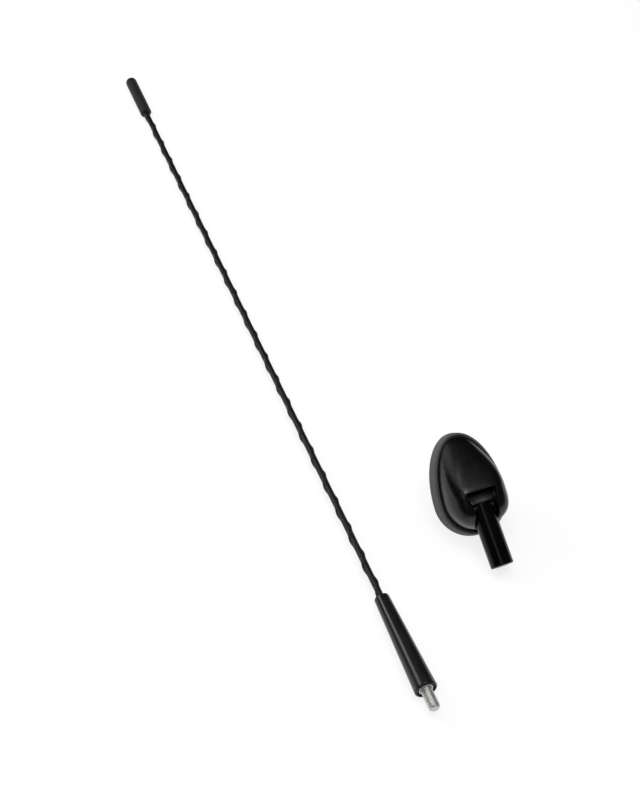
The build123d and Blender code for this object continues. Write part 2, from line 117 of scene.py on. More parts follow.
def lay_surface(
    name: str,
    points: np.ndarray,
    wrap_rows: bool = False,
    poles: bool = False,
) -> bpy.types.Object:
    """Lays a grid of points as a smooth closed mesh, with its faces turned outwards.

    Each cell between two rows and two columns is one quad, and the columns always close on themselves. A
    pole is one more point in the middle of an end row, joined to that row by a fan. The sign of the enclosed
    volume says which way the faces point.

    Args:
        name: the piece's name.
        points: rows by columns by three, in metres.
        wrap_rows: joins the last row to the first.
        poles: closes the first and the last row with a fan each.

    Returns:
        The new object, linked to the scene.
    """
    rows, cols = points.shape[:2]
    index = np.arange(rows * cols).reshape(rows, cols)
    rings = np.vstack([index, index[:1]]) if wrap_rows else index
    rings = np.hstack([rings, rings[:, :1]])
    quads = np.stack([rings[:-1, :-1], rings[:-1, 1:], rings[1:, 1:], rings[1:, :-1]], -1).reshape(-1, 4)
    vertices = points.reshape(-1, 3)
    fans = []
    if poles:
        for ring, order in ((rings[0], 1), (rings[-1], -1)):
            hub = np.full(cols, len(vertices))
            vertices = np.vstack([vertices, vertices[ring[:-1]].mean(0)])
            fan = np.stack([hub, ring[1:], ring[:-1]], -1)
            fans.append(fan[:, ::order])
    corners = np.vstack([quads[:, [0, 1, 2]], quads[:, [0, 2, 3]], *fans])
    a, b, c = (vertices[corners[:, k]] for k in range(3))
    volume = np.einsum("ij,ij->i", a, np.cross(b, c)).sum()
    faces = [group[:, ::-1] if volume < 0 else group for group in (quads, *fans)]
    mesh = bpy.data.meshes.new(name)
    mesh.from_pydata(vertices.tolist(), [], [face for group in faces for face in group.tolist()])
    mesh.polygons.foreach_set("use_smooth", np.ones(len(mesh.polygons), bool))
    mesh.update()
    piece = bpy.data.objects.new(name, mesh)
    bpy.context.scene.collection.objects.link(piece)
    return piece


def rounded_profile(corners: Sequence[Triple], closed: bool = False, arc_steps: int = 7) -> np.ndarray:
    """Draws a profile through corners, each rounded by an arc that is tangent to its two sides.

    The arc's centre lies on the corner's bisector, at the radius over the sine of half the corner's angle,
    and the arc turns evenly from one tangent point to the other. Next to each arc stands one more point a
    little along the straight, so that shading stays flat there.

    Args:
        corners: along, across and radius of each corner.
        closed: joins the last corner to the first.
        arc_steps: steps in each arc.

    Returns:
        The profile's points, one per row.
    """
    spots = np.array([corner[:2] for corner in corners], float)
    count = len(spots)
    found: list[np.ndarray] = []
    for k, (here, radius) in enumerate(zip(spots, (corner[2] for corner in corners))):
        ending = not closed and k in (0, count - 1)
        if ending or radius <= 0:
            found.append(here[None])
            continue
        sides = (spots[k - 1] - here, spots[(k + 1) % count] - here)
        before, after = (unit(side) for side in sides)
        half = 0.5 * math.acos(float(np.clip(before @ after, -1, 1)))
        reach = radius / math.tan(half)
        centre = here + unit(before + after) * radius / math.sin(half)
        start, end = here + before * reach - centre, here + after * reach - centre
        sweep = math.pi - 2 * half
        share = np.linspace(0, 1, arc_steps + 1)[:, None]
        arc = (np.sin((1 - share) * sweep) * start + np.sin(share * sweep) * end) / math.sin(sweep)
        straights = [max(np.linalg.norm(side) - reach, 0.0) for side in sides]
        leads = [min(LEAD_OF_RADIUS * radius, LEAD_OF_STRAIGHT * straight) for straight in straights]
        found.append((here + before * (reach + leads[0]))[None])
        found.append(centre + arc)
        found.append((here + after * (reach + leads[1]))[None])
    return np.vstack(found)


def even_turn(cols: int) -> np.ndarray:
    """Returns angles evenly round one turn, as one row."""
    return np.linspace(0, TURN, cols, endpoint=False)[None]


def straight_rows(start: float, end: float, rows: int, radius: float) -> np.ndarray:
    """Returns evenly spaced profile points along a straight of one radius."""
    along = np.linspace(start, end, rows)
    return np.stack([along, np.full(rows, radius)], -1)


def about_x(along: np.ndarray, radius: np.ndarray, angle: np.ndarray) -> np.ndarray:
    """Places points about the x axis: y is the radius by the angle's cosine, z the radius by its sine."""
    return np.stack(np.broadcast_arrays(along, radius * np.cos(angle), radius * np.sin(angle)), -1)


def about_z(height: np.ndarray, radius: np.ndarray, angle: np.ndarray) -> np.ndarray:
    """Places points about the z axis, as about_x does about the x axis."""
    return np.roll(about_x(height, radius, angle), -1, axis=-1)


def turned(profile: np.ndarray, cols: int) -> np.ndarray:
    """Turns a profile about the x axis: each point (along, radius) becomes a ring."""
    return about_x(profile[:, :1], profile[:, 1:], even_turn(cols))


def thread_cut(along: np.ndarray, angle: np.ndarray, pitch: float, depth: float) -> np.ndarray:
    """Depth of a right-handed V thread with flattened crests and roots.

    The phase is the distance along the axis less the turn's share of the pitch. A triangle wave of the phase,
    clipped at both ends, goes from crest to root and back.

    Args:
        along: distance along the axis.
        angle: angle about the axis.
        pitch: distance from crest to crest.
        depth: depth of the root.

    Returns:
        How far the surface lies below the crest.
    """
    phase = along / pitch - angle / TURN
    wave = np.abs(2 * (phase - np.floor(phase)) - 1)
    return depth * np.clip((wave - CREST_SHARE) / FLANK_SHARE, 0, 1)


def halve(low: np.ndarray, high: np.ndarray, past: Callable[[np.ndarray], np.ndarray]) -> np.ndarray:
    """Finds where a test turns true in each column, by halving the span between two places.

    Args:
        low: a place in each column where the test is false.
        high: a place in each column where it is true.
        past: the test, on one place in each column.

    Returns:
        The last place before the turn that was found.
    """
    for _ in range(HALVINGS):
        middle = (low + high) / 2
        hit = past(middle)
        low, high = np.where(hit, low, middle), np.where(hit, middle, high)
    return low


def standing(place: Triple, right: np.ndarray, up: np.ndarray) -> Matrix:
    """Returns the matrix of an object at a place, from its own right and up directions."""
    turn = Matrix(np.array([right, up, np.cross(right, up)]).T.tolist()).to_4x4()
    return Matrix.Translation(place) @ turn


def add_node(tree: Tree, kind: str, feeds: dict[str | int, Feed], **options: Any) -> Node:
    """Adds a shader node, sets its options and feeds its inputs.

    Args:
        tree: the nodes of a material or of a group.
        kind: the node's type.
        feeds: for each input, a socket to link or a value to set.
        options: the node's own settings, which are set first.

    Returns:
        The new node.
    """
    node = tree.nodes.new(kind)
    for option, choice in options.items():
        setattr(node, option, choice)
    for label, value in feeds.items():
        if isinstance(value, Socket):
            tree.links.new(value, node.inputs[label])
        else:
            node.inputs[label].default_value = value
    return node


def add_math(tree: Tree, operation: str, first: Feed, second: Feed) -> Socket:
    """Adds a math node on two sockets or numbers and returns its value socket."""
    return add_node(tree, "ShaderNodeMath", {0: first, 1: second}, operation=operation).outputs[0]


class Texture(Enum):
    """How a finish is marked: by its mould, by the lathe or by casting."""

    MOULDED = "moulded"
    TURNED = "turned"
    CAST = "cast"


# Directions of turned work in the row frame.
ALONG_MAST: Triple = (1.0, 0.0, 0.0)
ALONG_NECK: Triple = (0.862, 0.0226, -0.507)
ALONG_PIN: Triple = (-0.026, 1.0, 0.0)
ALONG_STEM: Triple = (0.616, 0.016, 0.788)


@dataclass(frozen=True)
class Finish:
    """One material: two tones, two roughnesses, a texture and its sizes in millimetres."""

    slot: str
    dark: Triple
    light: Triple
    rough: Pair
    texture: Texture = Texture.MOULDED
    metallic: float = 0.0
    specular: float = 0.5
    grain: float = 0.35
    relief: float = 0.012
    patch: float = 9.0
    dust: float = 0.0
    coat: float = 0.0
    axis: Triple = ALONG_MAST


FINISHES: tuple[Finish, ...] = (
    Finish(
        "cap_rubber", (0.0087, 0.0087, 0.0093), (0.0142, 0.0142, 0.0148), (0.55, 0.70),
        grain=0.30, relief=0.008, dust=0.5,
    ),
    Finish(
        "sheath_black", (0.0041, 0.0041, 0.0043), (0.007, 0.007, 0.0074), (0.38, 0.50),
        specular=0.38, grain=0.25, relief=0.006, dust=0.3,
    ),
    Finish(
        "ferrule_black", (0.0058, 0.0058, 0.0061), (0.0096, 0.0096, 0.01), (0.24, 0.29),
        specular=0.38, grain=0.22, relief=0.002, dust=0.2,
    ),
    Finish(
        "stud_zinc", (0.50, 0.50, 0.487), (0.62, 0.62, 0.607), (0.42, 0.52),
        Texture.TURNED, metallic=1.0, grain=0.12, relief=0.002,
    ),
    Finish(
        "core_steel", (0.42, 0.42, 0.43), (0.55, 0.55, 0.56), (0.30, 0.42),
        Texture.TURNED, metallic=1.0, grain=0.3, relief=0.002,
    ),
    Finish(
        "pad_rubber", (0.058, 0.058, 0.0602), (0.0812, 0.0812, 0.0834), (0.66, 0.80),
        grain=0.28, relief=0.014, dust=0.6,
    ),
    Finish(
        "dome_black", (0.0019, 0.0019, 0.002), (0.0038, 0.0038, 0.0041), (0.25, 0.32),
        specular=0.42, grain=0.34, relief=0.007, dust=0.3,
    ),
    Finish(
        "neck_black", (0.0014, 0.0014, 0.0016), (0.0026, 0.0026, 0.0028), (0.14, 0.20),
        specular=0.18, grain=0.5, relief=0.002,
    ),
    Finish(
        "brass", (0.50, 0.34, 0.12), (0.68, 0.50, 0.22), (0.26, 0.38),
        Texture.TURNED, metallic=1.0, grain=0.15, relief=0.002, axis=ALONG_NECK,
    ),
    Finish(
        "pin_steel", (0.48, 0.48, 0.48), (0.62, 0.62, 0.62), (0.22, 0.32),
        Texture.TURNED, metallic=1.0, grain=0.2, relief=0.001, axis=ALONG_PIN,
    ),
    Finish(
        "screw_steel", (0.42, 0.42, 0.42), (0.56, 0.56, 0.55), (0.30, 0.42),
        Texture.TURNED, metallic=1.0, grain=0.2, relief=0.002, axis=ALONG_STEM,
    ),
    Finish(
        "chassis_zinc", (0.36, 0.36, 0.37), (0.48, 0.48, 0.49), (0.42, 0.56),
        Texture.CAST, metallic=1.0, grain=0.5, relief=0.012,
    ),
    Finish(
        "stem_zinc", (0.46, 0.46, 0.45), (0.60, 0.60, 0.58), (0.28, 0.40),
        Texture.TURNED, metallic=1.0, grain=0.15, relief=0.002, axis=ALONG_STEM,
    ),
    # Painted shade: the bush and the disc are toned near black, far darker than natural nylon and fibre, so
    # that their glimpses through the slot's gaps read as shade.
    Finish(
        "bush_nylon", (0.018, 0.018, 0.019), (0.032, 0.032, 0.034), (0.40, 0.52),
        grain=0.4, relief=0.004,
    ),
    Finish(
        "disc_fibre", (0.028, 0.023, 0.019), (0.055, 0.046, 0.039), (0.70, 0.82),
        grain=0.2, relief=0.01,
    ),
    Finish(
        "board_green", (0.012, 0.11, 0.04), (0.022, 0.17, 0.065), (0.28, 0.38),
        grain=0.6, relief=0.004, coat=0.3,
    ),
    Finish(
        "board_parts_black", (0.020, 0.020, 0.020), (0.032, 0.032, 0.032), (0.50, 0.62),
        grain=0.2, relief=0.006,
    ),
    Finish(
        "wire_white", (0.66, 0.66, 0.63), (0.78, 0.78, 0.75), (0.42, 0.52),
        grain=0.4, relief=0.002,
    ),
    Finish(
        "shell_nickel", (0.58, 0.57, 0.54), (0.72, 0.71, 0.68), (0.16, 0.26),
        Texture.TURNED, metallic=1.0, grain=0.15, relief=0.001, axis=ALONG_STEM,
    ),
    Finish(
        "insulator_white", (0.74, 0.74, 0.71), (0.84, 0.84, 0.81), (0.44, 0.56),
        grain=0.3, relief=0.003,
    ),
    Finish(
        "nut_zinc", (0.42, 0.42, 0.40), (0.58, 0.58, 0.56), (0.30, 0.44),
        Texture.CAST, metallic=1.0, grain=0.4, relief=0.005,
    ),
    Finish(
        "washer_steel", (0.34, 0.34, 0.33), (0.48, 0.48, 0.47), (0.34, 0.46),
        Texture.CAST, metallic=1.0, grain=0.35, relief=0.004,
    ),
)


@dataclass
class FinishShop:
    """Builds the shared texture groups once, and one material for each finish."""

    tone_span: Pair = (0.30, 0.70)
    gloss_span: Pair = (0.32, 0.68)
    pit_share: float = 0.7
    pit_finer: float = 2.3
    ring_squeeze: float = 0.08
    lint_colour: Triple = (0.16, 0.16, 0.155)
    lint_noises: tuple[Pair, ...] = ((1700.0, 0.70), (520.0, 0.73))
    lint_edge: float = 0.08
    groups: dict[Texture, Tree] = field(default_factory=dict)
    lint_group: Tree | None = None
    materials: dict[str, bpy.types.Material] = field(default_factory=dict)

    def prepare(self) -> None:
        """Builds every group and every material."""
        self.groups = {
            Texture.MOULDED: self._texture_group("moulded_grain", self._draw_moulded),
            Texture.TURNED: self._texture_group("turned_marks", self._draw_turned),
            Texture.CAST: self._texture_group("cast_skin", self._draw_cast),
        }
        self.lint_group = self._build_lint_group()
        self.materials = {finish.slot: self._build(finish) for finish in FINISHES}

    @staticmethod
    def _new_group(name: str, inputs: dict[str, str], outputs: Sequence[str]) -> tuple[Tree, Node, Node]:
        """Starts a node group with named sockets.

        Args:
            name: the group's name.
            inputs: the name and the type of each input.
            outputs: the names of the outputs, which are all plain values.

        Returns:
            The group, its input node and its output node.
        """
        tree = bpy.data.node_groups.new(name, "ShaderNodeTree")
        for label, kind in inputs.items():
            tree.interface.new_socket(label, in_out="INPUT", socket_type=kind)
        for label in outputs:
            tree.interface.new_socket(label, in_out="OUTPUT", socket_type=VALUE)
        return tree, tree.nodes.new("NodeGroupInput"), tree.nodes.new("NodeGroupOutput")

    def _texture_group(self, name: str, draw: Callable[[Tree, Node], tuple[Socket, ...]]) -> Tree:
        """Makes a group that turns a place, two scales and the work's axis into height, tone and gloss.

        Args:
            name: the group's name.
            draw: adds the texture's nodes after the group's input and returns height, tone and gloss.

        Returns:
            The new group.
        """
        inputs = {"Place": VECTOR, "Grain Scale": VALUE, "Patch Scale": VALUE, "Axis": VECTOR}
        outputs = ("Height", "Tone", "Gloss")
        tree, source, sink = self._new_group(name, inputs, outputs)
        for label, value in zip(outputs, draw(tree, source)):
            tree.links.new(value, sink.inputs[label])
        return tree

    @staticmethod
    def _noise(tree: Tree, place: Socket, scale: Feed, detail: float, rough: float = 0.5) -> Socket:
        """Adds a noise texture on a place and returns its value socket."""
        feeds = {"Vector": place, "Scale": scale, "Detail": detail, "Roughness": rough}
        return add_node(tree, "ShaderNodeTexNoise", feeds).outputs["Fac"]

    @staticmethod
    def _weigh(tree: Tree, first: Socket, second: Socket, share: float) -> Socket:
        """Adds up two values, the first by its share and the second by the rest of one."""
        parts = [add_math(tree, "MULTIPLY", *part) for part in ((first, share), (second, 1 - share))]
        return add_math(tree, "ADD", *parts)

    @staticmethod
    def _ramp(tree: Tree, value: Socket, span: Pair, to: Pair = (0.0, 1.0)) -> Socket:
        """Adds a ramp from one span of values to another, clipped at its ends, and returns its value."""
        feeds = {"Value": value, "From Min": span[0], "From Max": span[1], "To Min": to[0], "To Max": to[1]}
        return add_node(tree, "ShaderNodeMapRange", feeds).outputs["Result"]

    @staticmethod
    def _mix(tree: Tree, factor: Socket, first: Feed, second: Triple) -> Socket:
        """Adds a mix of a colour socket or a colour with a colour and returns its colour socket."""
        feeds = {"Factor": factor, "A": first, "B": (*second, 1.0)}
        return add_node(tree, "ShaderNodeMix", feeds, data_type="RGBA").outputs["Result"]

    def _draw_moulded(self, tree: Tree, source: Node) -> tuple[Socket, Socket, Socket]:
        """Spark-eroded mould grain: rounded pits between cells, broken up by noise, over slow patches.

        Args:
            tree: the group that is drawn.
            source: the group's input.

        Returns:
            Height, tone and gloss.
        """
        place, grain, patch = (source.outputs[label] for label in ("Place", "Grain Scale", "Patch Scale"))
        feeds = {"Vector": place, "Scale": grain}
        cells = add_node(tree, "ShaderNodeTexVoronoi", feeds, feature="SMOOTH_F1").outputs["Distance"]
        fine = self._noise(tree, place, add_math(tree, "MULTIPLY", grain, self.pit_finer), detail=3.0)
        slow = self._noise(tree, place, patch, detail=3.0, rough=0.55)
        height = add_math(tree, "ADD", add_math(tree, "MULTIPLY", cells, self.pit_share), fine)
        return height, self._weigh(tree, slow, fine, share=0.65), slow

    def _draw_turned(self, tree: Tree, source: Node) -> tuple[Socket, Socket, Socket]:
        """Lathe marks: noise squeezed along the work's axis into fine rings, over slow patches.

        The place is scaled down all round, and its part along the axis is then added back.

        Args:
            tree: the group that is drawn.
            source: the group's input.

        Returns:
            Height, tone and gloss.
        """
        place, grain, patch = (source.outputs[label] for label in ("Place", "Grain Scale", "Patch Scale"))
        axis, kind = source.outputs["Axis"], "ShaderNodeVectorMath"
        along = add_node(tree, kind, {0: place, 1: axis}, operation="DOT_PRODUCT").outputs["Value"]
        squeezed = add_node(tree, kind, {0: place, "Scale": self.ring_squeeze}, operation="SCALE").outputs[0]
        kept = add_node(tree, kind, {0: axis, "Scale": along}, operation="SCALE").outputs[0]
        joined = add_node(tree, kind, {0: squeezed, 1: kept}, operation="ADD").outputs[0]
        rings = self._noise(tree, joined, grain, detail=4.0, rough=0.6)
        slow = self._noise(tree, place, patch, detail=4.0, rough=0.6)
        return rings, self._weigh(tree, slow, rings, share=0.6), self._weigh(tree, slow, rings, share=0.5)

    def _draw_cast(self, tree: Tree, source: Node) -> tuple[Socket, Socket, Socket]:
        """Cast or plated skin: soft lumps with a finer roughness, over slow patches.

        Args:
            tree: the group that is drawn.
            source: the group's input.

        Returns:
            Height, tone and gloss.
        """
        place, grain, patch = (source.outputs[label] for label in ("Place", "Grain Scale", "Patch Scale"))
        lumps = self._noise(tree, place, grain, detail=5.0, rough=0.65)
        slow = self._noise(tree, place, patch, detail=4.0, rough=0.6)
        return lumps, self._weigh(tree, slow, lumps, share=0.5), slow

    def _build_lint_group(self) -> Tree:
        """Makes the group of pale lint specks: the rare peaks of two noises of different size.

        Returns:
            The new group.
        """
        tree, source, sink = self._new_group("lint_specks", {"Place": VECTOR, "Amount": VALUE}, ("Mask",))
        masks = []
        for scale, low in self.lint_noises:
            noise = self._noise(tree, source.outputs["Place"], scale, detail=2.0)
            masks.append(self._ramp(tree, noise, (low, low + self.lint_edge)))
        both = add_math(tree, "MAXIMUM", *masks)
        tree.links.new(add_math(tree, "MULTIPLY", both, source.outputs["Amount"]), sink.inputs["Mask"])
        return tree

    def _build(self, finish: Finish) -> bpy.types.Material:
        """Builds the material of one finish.

        The texture's tone mixes the two colours, its gloss sets the roughness between the two limits, and its
        height feeds a bump of the finish's relief.

        Args:
            finish: the tones, roughnesses and sizes.

        Returns:
            The material, named for its slot.
        """
        material = bpy.data.materials.new(finish.slot)
        material.use_nodes = True
        tree = material.node_tree
        shader = tree.nodes["Principled BSDF"]
        shader.inputs["Metallic"].default_value = finish.metallic
        shader.inputs["Specular IOR Level"].default_value = finish.specular
        shader.inputs["Coat Weight"].default_value = finish.coat
        place = tree.nodes.new("ShaderNodeTexCoord").outputs["Object"]
        feeds = {
            "Place": place,
            "Grain Scale": 1 / (MM * finish.grain),
            "Patch Scale": 1 / (MM * finish.patch),
            "Axis": finish.axis,
        }
        texture = add_node(tree, "ShaderNodeGroup", feeds, node_tree=self.groups[finish.texture])
        tone = self._ramp(tree, texture.outputs["Tone"], self.tone_span)
        colour = self._mix(tree, tone, (*finish.dark, 1.0), finish.light)
        if finish.dust > 0:
            feeds = {"Place": place, "Amount": finish.dust}
            lint = add_node(tree, "ShaderNodeGroup", feeds, node_tree=self.lint_group)
            colour = self._mix(tree, lint.outputs["Mask"], colour, self.lint_colour)
        gloss = self._ramp(tree, texture.outputs["Gloss"], self.gloss_span, finish.rough)
        feeds = {"Strength": 1.0, "Distance": MM * finish.relief, "Height": texture.outputs["Height"]}
        normal = add_node(tree, "ShaderNodeBump", feeds).outputs["Normal"]
        for label, value in (("Base Color", colour), ("Roughness", gloss), ("Normal", normal)):
            tree.links.new(value, shader.inputs[label])
        return material

    def dress(self, piece: bpy.types.Object, slot: str) -> None:
        """Gives a piece the material of a slot in place of any that it has."""
        piece.data.materials.clear()
        piece.data.materials.append(self.materials[slot])


@dataclass(frozen=True)
class Fitting:
    """A new surface, the node that it stands for and the body that it rides on."""

    piece: bpy.types.Object
    node: str
    body: str = ROOT_BODY


@dataclass
class Workshop:
    """What every sub-assembly needs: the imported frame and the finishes."""

    frame: dict[str, Any]
    finishes: FinishShop

    def mount(self, name: str) -> tuple[np.ndarray, np.ndarray, dict[str, float]]:
        """Returns a mount's place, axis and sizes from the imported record."""
        found = named(self.frame["record"]["mounts"], name)
        return np.array(found["pos_m"]), unit(found["axis"]), found.get("dims", {})

    def slot_of(self, node: str) -> str:
        """Returns the material slot of a node."""
        rows = self.frame["record"]["subparts"]
        return next(row["material_slot"] for row in rows if row["node"] == node)

    def install(self, fitting: Fitting) -> None:
        """Puts a new piece in its node's place, on its body and in its finish.

        Args:
            fitting: the piece, its node and its body.
        """
        piece, slot = fitting.piece, self.slot_of(fitting.node)
        self.finishes.dress(piece, slot)
        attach(piece, fitting.body)
        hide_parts(fitting.node)
        LOG.info("%s: %d faces for %s", piece.name, len(piece.data.polygons), fitting.node)

    def dress_nodes(self) -> None:
        """Gives every node its slot's material, shown or not."""
        for name, node in self.frame["nodes"].items():
            self.finishes.dress(node, self.slot_of(name))


@dataclass
class SubAssembly:
    """Pieces that are built in a frame of their own and then dressed."""

    shop: Workshop
    fittings: list[Fitting] = field(default_factory=list)

    def dress(self) -> None:
        """Puts each piece that was built in its node's place and finish."""
        for fitting in self.fittings:
            self.shop.install(fitting)


@dataclass
class Mast(SubAssembly):
    """The whip mast, along x from the stud's end at zero back to the tip, in millimetres and degrees.

    A hub is the radius of the last ring before a closed end's pole.
    """

    length: float = 550.0
    stud_reach: float = 11.3
    stud_chamfer: float = 0.8
    stud_radius: float = 3.0
    stud_nose: tuple[Pair, ...] = ((0.0, 0.6), (0.0, 1.6), (0.0, 2.1), (-0.06, 2.24))
    stud_hub: float = 0.5
    stud_columns: int = 72
    thread_pitch: float = 1.0
    thread_depth: float = 0.25
    thread_lead: float = 0.05
    thread_runout: float = 1.6
    thread_rows: int = 150
    collar_radius: float = 3.9
    collar_sink: float = 0.4
    collar_edge_round: float = 0.25
    collar_root_round: float = 0.1
    shank_radius: float = 3.3
    shank_top: float = -43.1
    shank_slip: float = 0.02
    shank_cone: float = 0.5
    shank_end_round: float = 0.3
    cup_radius: float = 4.8
    cup_depth: float = 1.8
    cup_round: float = 0.3
    ferrule_length: float = 60.2
    ferrule_foot_radius: float = 6.1
    ferrule_top_radius: float = 4.05
    ferrule_foot_round: float = 1.0
    ferrule_top_round: float = 0.7
    ferrule_bore_round: float = 0.12
    taper_lead: float = 1.2
    taper_tail: float = 1.6
    taper_rows: int = 40
    seam_angle: float = 124.0
    seam_height: float = 0.015
    seam_width: float = 0.20
    seam_top_gap: float = 0.8
    seam_top_fade: float = 1.0
    seam_foot_gap: float = 1.2
    seam_foot_fade: float = 0.8
    seam_skin: float = 0.5
    seam_columns: int = 49
    seam_crowding: float = 2.2
    sheath_radius: float = 1.75
    sheath_low: float = -47.5
    sheath_slip: float = 0.05
    rib_height: float = 0.6
    rib_width: float = 0.75
    rib_pitch: float = 19.6
    rib_angle: float = 84.8
    rib_fade: float = 0.6
    rib_crowding: float = 0.35
    rib_rows: int = 900
    rib_columns: int = 44
    cap_length: float = 40.7
    cap_radius: float = 3.75
    cap_grip: float = 30.0
    cap_edge_round: float = 0.8
    cap_tip_round: float = 3.3
    cap_bore_round: float = 0.15
    cap_bore_hub: float = 0.4
    cap_tip_hub: float = 0.12
    cap_columns: int = 64

    def place(self) -> LocalFrame:
        """Works out the mast's frame from the stud's mount, with its z axis as near to up as it can be.

        Returns:
            The frame.
        """
        middle, axis, sizes = self.shop.mount("mast_thread")
        end = middle + MM * (sizes["length_mm"] / 2 + self.stud_chamfer) * axis
        side = unit(np.cross((0, 0, 1), axis))
        return LocalFrame(end, np.array([axis, side, np.cross(axis, side)]))

    def build(self) -> None:
        """Makes the four pieces of the mast that need a finer surface than their solids have."""
        frame = self.place()
        self.fittings = [
            Fitting(self.stud(frame), "mast_stud"),
            Fitting(self.ferrule(frame), "ferrule"),
            Fitting(self.sheath(frame), "spiral_sheath"),
            Fitting(self.cap(frame), "tip_cap"),
        ]

    def stud(self, frame: LocalFrame) -> bpy.types.Object:
        """Turns the stud: a chamfered end, an M6 thread, the collar where it runs out, and the shank.

        The thread is taken off the radius, and near the end the radius is held to the chamfer's cone.

        Args:
            frame: the mast's frame.

        Returns:
            The stud.
        """
        base = -self.stud_reach - self.collar_sink
        cup = -self.stud_reach - self.cup_depth
        core = straight_rows(-self.stud_chamfer, base, self.thread_rows, self.stud_radius)
        tail = rounded_profile(
            [
                (base, self.stud_radius, 0),
                (base, self.collar_radius, self.collar_edge_round),
                (cup, self.collar_radius, self.collar_root_round),
                (cup, self.shank_radius, 0),
                (self.shank_top, self.shank_radius, self.shank_end_round),
                (self.shank_top, self.stud_hub, 0),
            ]
        )
        profile = np.vstack([self.stud_nose, core, tail])
        along, angle = profile[:, :1], even_turn(self.stud_columns)
        runout = np.clip((along - base) / self.thread_runout, 0, 1) * (along < -self.thread_lead)
        radius = profile[:, 1:] - runout * thread_cut(along, angle, self.thread_pitch, self.thread_depth)
        cone = self.stud_radius - self.stud_chamfer - along
        radius = np.where(along > base, np.minimum(radius, cone), radius)
        return lay_surface("stud_threaded", frame.to_row(about_x(along, radius, angle)), poles=True)

    def ferrule(self, frame: LocalFrame) -> bpy.types.Object:
        """Turns the tapered ferrule with its cup, and raises a fine mould seam along its two sides.

        The seam is a narrow bell curve of the arc length from the seam's angle, on columns that crowd there.

        Args:
            frame: the mast's frame.

        Returns:
            The ferrule.
        """
        foot = -self.stud_reach
        top = foot - self.ferrule_length
        cup = foot - self.cup_depth
        bore = self.sheath_radius + self.sheath_slip
        hold = self.shank_radius + self.shank_slip
        profile = rounded_profile(
            [
                (top, bore, self.ferrule_bore_round),
                (top, self.ferrule_top_radius, self.ferrule_top_round),
                (foot, self.ferrule_foot_radius, self.ferrule_foot_round),
                (foot, self.cup_radius, self.cup_round),
                (cup, self.cup_radius, self.cup_round),
                (cup, hold, 0),
                (self.shank_top, hold, 0),
                (self.shank_top - self.shank_cone, bore, 0),
            ],
            closed=True,
        )
        ends, end_radii = (top, foot), (self.ferrule_top_radius, self.ferrule_foot_radius)
        taper = np.linspace(top + self.taper_lead, foot - self.taper_tail, self.taper_rows)
        side = np.stack([taper, np.interp(taper, ends, end_radii)], -1)
        outer = int(np.argmax(profile[:, 0] > taper[0]))
        profile = np.vstack([profile[:outer], side, profile[outer:]])
        along, plain_radius = profile[:, :1], profile[:, 1:]
        seam = math.radians(self.seam_angle)
        spread = np.linspace(-1, 1, self.seam_columns)
        near = np.sign(spread) * np.abs(spread) ** self.seam_crowding * TURN / 4
        angle = np.sort(np.concatenate([seam + near, seam + math.pi + near[1:-1]]))[None]
        offset = np.abs((angle - seam + math.pi / 2) % math.pi - math.pi / 2)
        fade = np.clip((along - top - self.seam_top_gap) / self.seam_top_fade, 0, 1)
        fade = fade * np.clip((foot - self.seam_foot_gap - along) / self.seam_foot_fade, 0, 1)
        fade = fade * (plain_radius > np.interp(along, ends, end_radii) - self.seam_skin)
        bell = np.exp(-((offset * plain_radius / self.seam_width) ** 2))
        radius = plain_radius + self.seam_height * fade * bell
        return lay_surface("ferrule_moulding", frame.to_row(about_x(along, radius, angle)), wrap_rows=True)

    def sheath(self, frame: LocalFrame) -> bpy.types.Object:
        """Winds the sheath's rib: a bell curve of the angle from the helix, on columns that turn with it.

        The helix is at the rib's angle at the stud's end and turns once in each pitch. The rib fades out just
        inside the ferrule and the cap.

        Args:
            frame: the mast's frame.

        Returns:
            The sheath.
        """
        top = -self.stud_reach - self.ferrule_length
        mouth = -self.length + self.cap_length
        high = mouth - self.cap_grip
        along = np.linspace(high, self.sheath_low, self.rib_rows)[:, None]
        offset = np.linspace(-math.pi, math.pi, self.rib_columns, endpoint=False)[None]
        offset = offset - self.rib_crowding * np.sin(offset)
        fade = np.clip((top + self.rib_fade - along) / self.rib_fade, 0, 1)
        fade = fade * np.clip((along - mouth + self.rib_fade) / self.rib_fade, 0, 1)
        radius = self.sheath_radius + self.rib_height * fade * np.exp(-((offset / self.rib_width) ** 2))
        angle = offset + TURN * along / self.rib_pitch + math.radians(self.rib_angle)
        return lay_surface("sheath_spiral", frame.to_row(about_x(along, radius, angle)), poles=True)

    def cap(self, frame: LocalFrame) -> bpy.types.Object:
        """Turns the soft tip cap, with its domed end and the bore that grips the sheath.

        Args:
            frame: the mast's frame.

        Returns:
            The cap.
        """
        tip = -self.length
        mouth = tip + self.cap_length
        bore = self.sheath_radius + self.sheath_slip
        profile = rounded_profile(
            [
                (mouth - self.cap_grip, self.cap_bore_hub, 0),
                (mouth - self.cap_grip, bore, 0),
                (mouth, bore, self.cap_bore_round),
                (mouth, self.cap_radius, self.cap_edge_round),
                (tip, self.cap_radius, self.cap_tip_round),
                (tip, self.cap_tip_hub, 0),
            ],
            arc_steps=10,
        )
        return lay_surface("cap_soft", frame.to_row(turned(profile, self.cap_columns)), poles=True)


